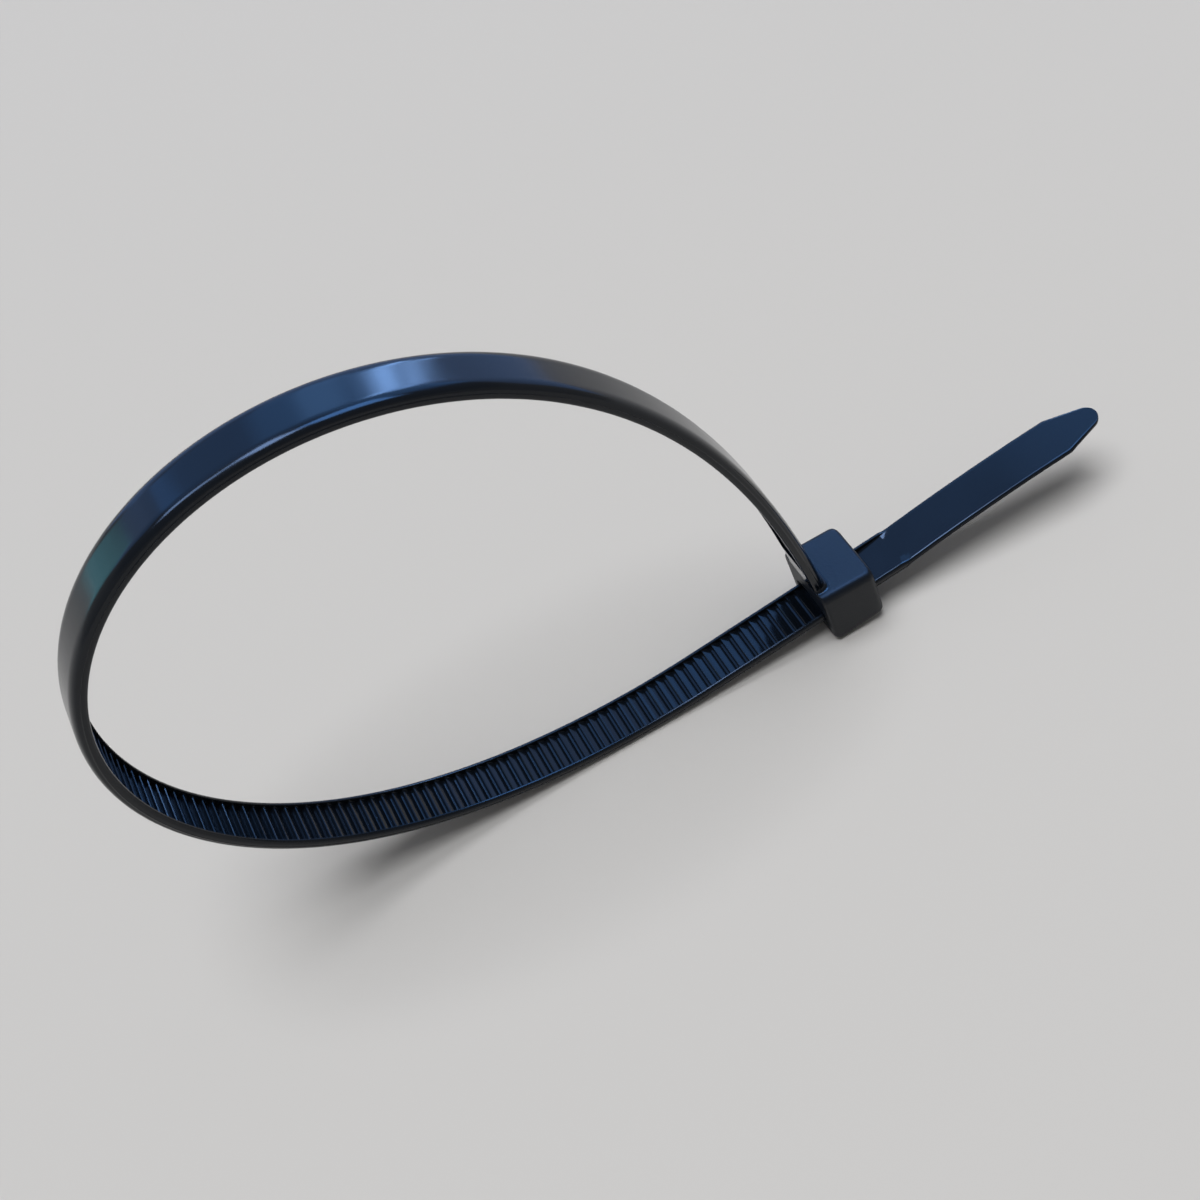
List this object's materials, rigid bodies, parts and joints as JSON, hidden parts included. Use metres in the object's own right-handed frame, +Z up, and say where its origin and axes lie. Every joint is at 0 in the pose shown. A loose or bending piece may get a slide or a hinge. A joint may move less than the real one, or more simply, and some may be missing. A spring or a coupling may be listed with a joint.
{
  "type": "cable tie",
  "caption": "Cable tie drawn closed into a tall open loop, with a ladder strap, a locking head that holds a toothed pawl, and a plain pull tail.",
  "frame": {"origin": "centre of the underside of the overall box, on the surface the tie rests on", "axes": "+X from the loop towards the tail's tip, +Y across the strap, +Z up from the surface the tie stands on"},
  "size_m": [0.0896, 0.007, 0.0521],
  "materials": {
    "nylon_black": "smooth moulded nylon, satin to glossy"
  },
  "bodies": {
    "root": {"cable_tie": "nylon_black"}
  },
  "joints": []
}
